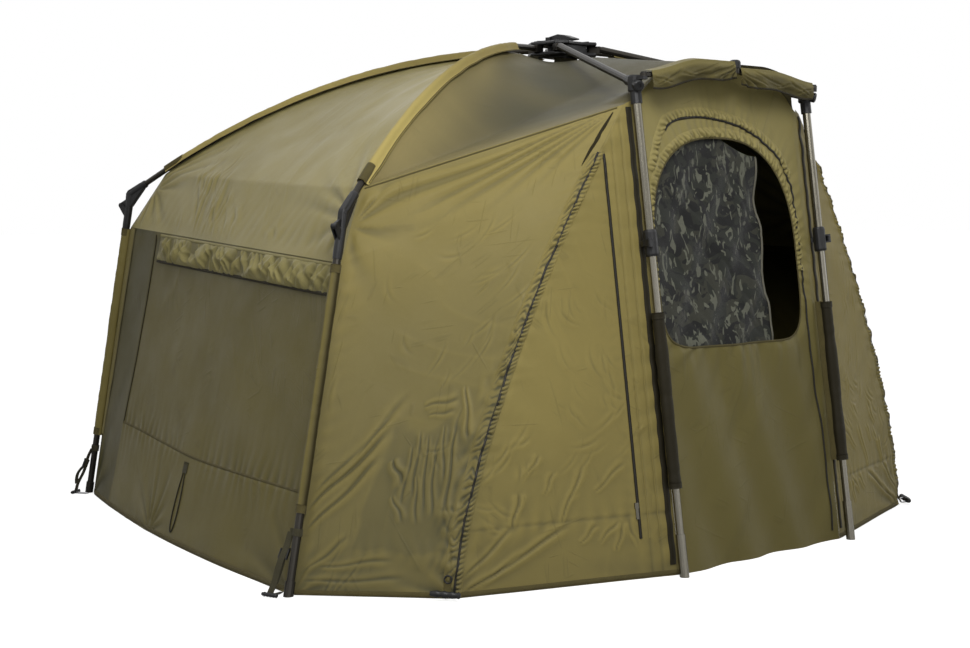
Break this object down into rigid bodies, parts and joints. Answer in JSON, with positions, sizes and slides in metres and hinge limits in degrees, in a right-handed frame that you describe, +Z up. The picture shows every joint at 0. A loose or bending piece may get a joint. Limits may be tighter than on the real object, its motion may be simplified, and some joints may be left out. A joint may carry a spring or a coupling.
{
  "type": "bivvy tent",
  "caption": "Olive fishing bivvy tent on an outside folding frame of bowed ribs that meet at a hub block, with jointed legs, a peaked brim, an arched door window and rolled side window covers.",
  "frame": {"origin": "middle of the footprint on the ground, the base of the whole tent", "axes": "+Z up, -Y out of the door, +X to the right of someone who stands in front and faces the door"},
  "size_m": [2.7856, 2.5126, 1.5905],
  "materials": {
    "olive_nylon": "coated olive nylon",
    "camouflage_cloth": "printed woven cloth",
    "dark_elastic": "covered elastic cord",
    "dark_webbing": "woven webbing",
    "pin_steel": "plated steel",
    "bare_tube": "satin anodised tube",
    "gunmetal_tube": "dark anodised tube",
    "black_moulding": "satin black nylon moulding"
  },
  "bodies": {
    "shell": {"hub_upper_plate": "black_moulding", "hub_lower_plate": "black_moulding", "hub_tie_strap": "dark_webbing", "side_wall_left": "olive_nylon", "side_wall_right": "olive_nylon", "rear_wall": "olive_nylon", "quarter_panel_left": "olive_nylon", "quarter_panel_right": "olive_nylon", "wing_panel_left": "olive_nylon", "wing_panel_right": "olive_nylon", "door_panel": "olive_nylon", "roof_rear_panel": "olive_nylon", "roof_side_panel_left": "olive_nylon", "roof_side_panel_right": "olive_nylon", "roof_front_panel": "olive_nylon", "camo_inner_panel": "camouflage_cloth", "window_roll_left": "olive_nylon", "window_roll_right": "olive_nylon", "cord_tab": "dark_webbing", "cord_loop": "dark_elastic"},
    "rib_rear_left": {"rib_rear_left": "gunmetal_tube", "knuckle_rear_left": "black_moulding"},
    "rib_rear_right": {"rib_rear_right": "gunmetal_tube", "knuckle_rear_right": "black_moulding"},
    "rib_side_left": {"rib_side_left": "gunmetal_tube", "knuckle_side_left": "black_moulding"},
    "rib_side_right": {"rib_side_right": "gunmetal_tube", "knuckle_side_right": "black_moulding"},
    "leg_rear_left": {"leg_socket_rear_left": "black_moulding", "leg_rear_left": "gunmetal_tube", "peg_strap_rear_left": "dark_webbing"},
    "leg_rear_right": {"leg_socket_rear_right": "black_moulding", "leg_rear_right": "gunmetal_tube", "peg_strap_rear_right": "dark_webbing"},
    "leg_side_left": {"leg_socket_side_left": "black_moulding", "leg_side_left": "gunmetal_tube", "peg_strap_side_left": "dark_webbing"},
    "leg_side_right": {"leg_socket_side_right": "black_moulding", "leg_side_right": "gunmetal_tube", "peg_strap_side_right": "dark_webbing"},
    "arm_left": {"front_arm_left": "gunmetal_tube", "corner_joint_left": "black_moulding", "front_leg_upper_left": "gunmetal_tube", "cam_collar_left": "black_moulding"},
    "brim_left": {"brim_bar_left": "gunmetal_tube", "brim_valance_left": "olive_nylon", "brim_knuckle": "black_moulding"},
    "front_foot_left": {"front_leg_lower_left": "bare_tube"},
    "cam_left": {"cam_lever_left": "black_moulding"},
    "zip_left": {"zip_slider_left": "pin_steel"},
    "arm_right": {"front_arm_right": "gunmetal_tube", "corner_joint_right": "black_moulding", "front_leg_upper_right": "gunmetal_tube", "cam_collar_right": "black_moulding"},
    "brim_right": {"brim_bar_right": "gunmetal_tube", "brim_valance_right": "olive_nylon"},
    "front_foot_right": {"front_leg_lower_right": "bare_tube"},
    "cam_right": {"cam_lever_right": "black_moulding"},
    "zip_right": {"zip_slider_right": "pin_steel"},
    "hub_latch": {"hub_lever": "black_moulding"}
  },
  "joints": [
    {"name": "frame_fold", "type": "hinge", "parent": "shell", "child": "rib_side_left", "pos_m": [-0.08, -0.3609, 1.54], "axis": [0, 0, -1], "range_deg": [0, 103.48], "deforming": ["side_wall_left", "side_wall_right", "rear_wall", "quarter_panel_left", "quarter_panel_right", "wing_panel_left", "wing_panel_right", "door_panel", "roof_rear_panel", "roof_side_panel_left", "roof_side_panel_right", "roof_front_panel", "brim_valance_left", "brim_valance_right", "camo_inner_panel", "window_roll_left", "window_roll_right", "cord_tab"]},
    {"name": "fold_side_right", "type": "hinge", "parent": "shell", "child": "rib_side_right", "pos_m": [0.08, -0.3609, 1.54], "axis": [0, 0, 1], "range_deg": [0, 103.5]},
    {"name": "fold_rear_left", "type": "hinge", "parent": "shell", "child": "rib_rear_left", "pos_m": [-0.03, -0.3109, 1.54], "axis": [0, 0, -1], "range_deg": [0, 26.99]},
    {"name": "fold_rear_right", "type": "hinge", "parent": "shell", "child": "rib_rear_right", "pos_m": [0.03, -0.3109, 1.54], "axis": [0, 0, 1], "range_deg": [0, 26.99]},
    {"name": "fold_arm_left", "type": "hinge", "parent": "shell", "child": "arm_left", "pos_m": [-0.08, -0.4369, 1.54], "axis": [0, 0, 1], "range_deg": [0, 22.02]},
    {"name": "fold_arm_right", "type": "hinge", "parent": "shell", "child": "arm_right", "pos_m": [0.08, -0.4369, 1.54], "axis": [0, 0, -1], "range_deg": [0, 22.02]},
    {"name": "fold_brim_left", "type": "hinge", "parent": "arm_left", "child": "brim_left", "pos_m": [-0.4, -1.0864, 1.402], "axis": [0, 0, -1], "range_deg": [0, 95.02]},
    {"name": "fold_brim_right", "type": "hinge", "parent": "arm_right", "child": "brim_right", "pos_m": [0.4, -1.0864, 1.402], "axis": [0, 0, 1], "range_deg": [0, 95.02]},
    {"name": "leg_fold_rear_left", "type": "hinge", "parent": "rib_rear_left", "child": "leg_rear_left", "pos_m": [-0.7401, 1.08475, 1.04358], "axis": [0.8913, 0.4535, 0], "range_deg": [0, 210]},
    {"name": "leg_fold_rear_right", "type": "hinge", "parent": "rib_rear_right", "child": "leg_rear_right", "pos_m": [0.7401, 1.08475, 1.04358], "axis": [0.8913, -0.4535, 0], "range_deg": [0, 210]},
    {"name": "leg_fold_side_left", "type": "hinge", "parent": "rib_side_left", "child": "leg_side_left", "pos_m": [-1.13091, -0.61279, 0.98116], "axis": [-0.2331, 0.9725, 0], "range_deg": [0, 205]},
    {"name": "leg_fold_side_right", "type": "hinge", "parent": "rib_side_right", "child": "leg_side_right", "pos_m": [1.13091, -0.61279, 0.98116], "axis": [-0.2331, -0.9725, 0], "range_deg": [0, 205]},
    {"name": "leg_slide_left", "type": "slide", "parent": "arm_left", "child": "front_foot_left", "axis": [0, 0.1366, 0.9906], "range_m": [0, 0.35]},
    {"name": "cam_lever_hinge_left", "type": "hinge", "parent": "arm_left", "child": "cam_left", "pos_m": [-0.42408, -1.13243, 0.93219], "axis": [0, 0.1366, 0.9906], "range_deg": [0, 150]},
    {"name": "leg_slide_right", "type": "slide", "parent": "arm_right", "child": "front_foot_right", "axis": [0, 0.1366, 0.9906], "range_m": [0, 0.35]},
    {"name": "cam_lever_hinge_right", "type": "hinge", "parent": "arm_right", "child": "cam_right", "pos_m": [0.42408, -1.13243, 0.93219], "axis": [0, -0.1366, -0.9906], "range_deg": [0, 150]},
    {"name": "hub_lever_hinge", "type": "hinge", "parent": "shell", "child": "hub_latch", "pos_m": [0, -0.3429, 1.5745], "axis": [-1, 0, 0], "range_deg": [0, 80]},
    {"name": "zip_slide_left", "type": "slide", "parent": "shell", "child": "zip_left", "axis": [-0.0005, 0.1294, 0.9916], "range_m": [0, 0.82]},
    {"name": "zip_slide_right", "type": "slide", "parent": "shell", "child": "zip_right", "axis": [0.0005, 0.1294, 0.9916], "range_m": [0, 0.82]}
  ],
  "couplings": [
    {"joint": "fold_side_right", "follows": "frame_fold", "ratio": 1},
    {"joint": "fold_rear_left", "follows": "frame_fold", "ratio": 0.26063},
    {"joint": "fold_rear_right", "follows": "frame_fold", "ratio": 0.26063},
    {"joint": "fold_arm_left", "follows": "frame_fold", "ratio": 0.2126},
    {"joint": "fold_arm_right", "follows": "frame_fold", "ratio": 0.2126},
    {"joint": "fold_brim_left", "follows": "frame_fold", "ratio": 0.91805},
    {"joint": "fold_brim_right", "follows": "frame_fold", "ratio": 0.91805}
  ]
}
